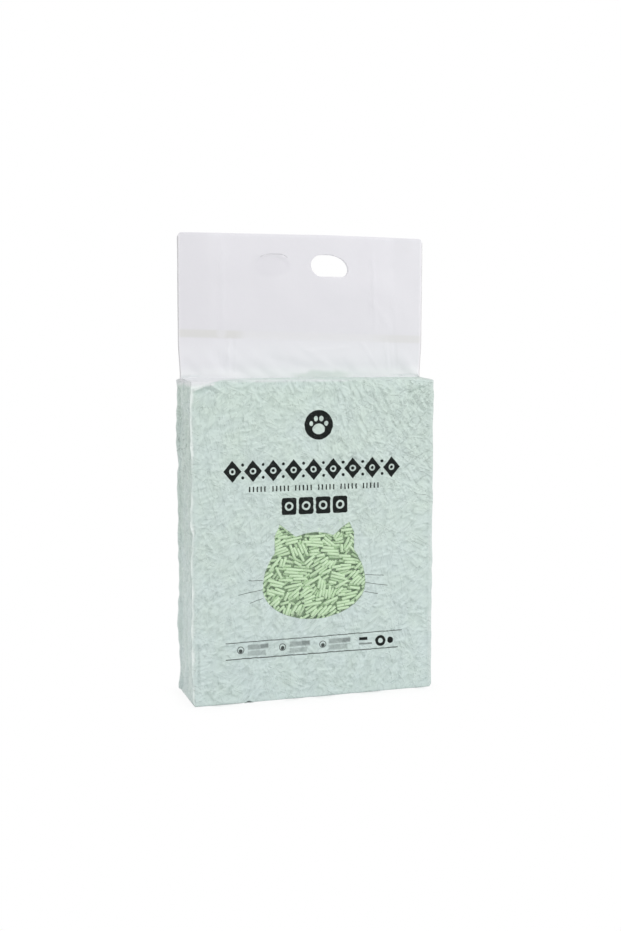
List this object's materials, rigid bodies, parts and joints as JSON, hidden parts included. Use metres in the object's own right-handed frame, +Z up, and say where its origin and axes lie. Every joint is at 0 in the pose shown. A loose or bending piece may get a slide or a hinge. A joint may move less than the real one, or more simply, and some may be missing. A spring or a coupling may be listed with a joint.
{
  "type": "cat litter bag",
  "caption": "Upright vacuum-packed bag of pelleted cat litter: a film bag tight round a flat brick of pellets, with a clear window and a flat header with a hand hole.",
  "frame": {"origin": "middle of the base that the bag stands on, at the base's surface", "axes": "+Z up, the printed front panel with its window faces -Y, +X is to the right as seen from the front"},
  "size_m": [0.2664, 0.066, 0.478],
  "materials": {
    "milky_film": "thin milky film with a soft satin shine, drawn tight over pellets",
    "litter_pellets": "matt pressed plant fibre, pale green"
  },
  "bodies": {
    "root": {"film_bag": "milky_film", "litter": "litter_pellets"}
  },
  "joints": []
}
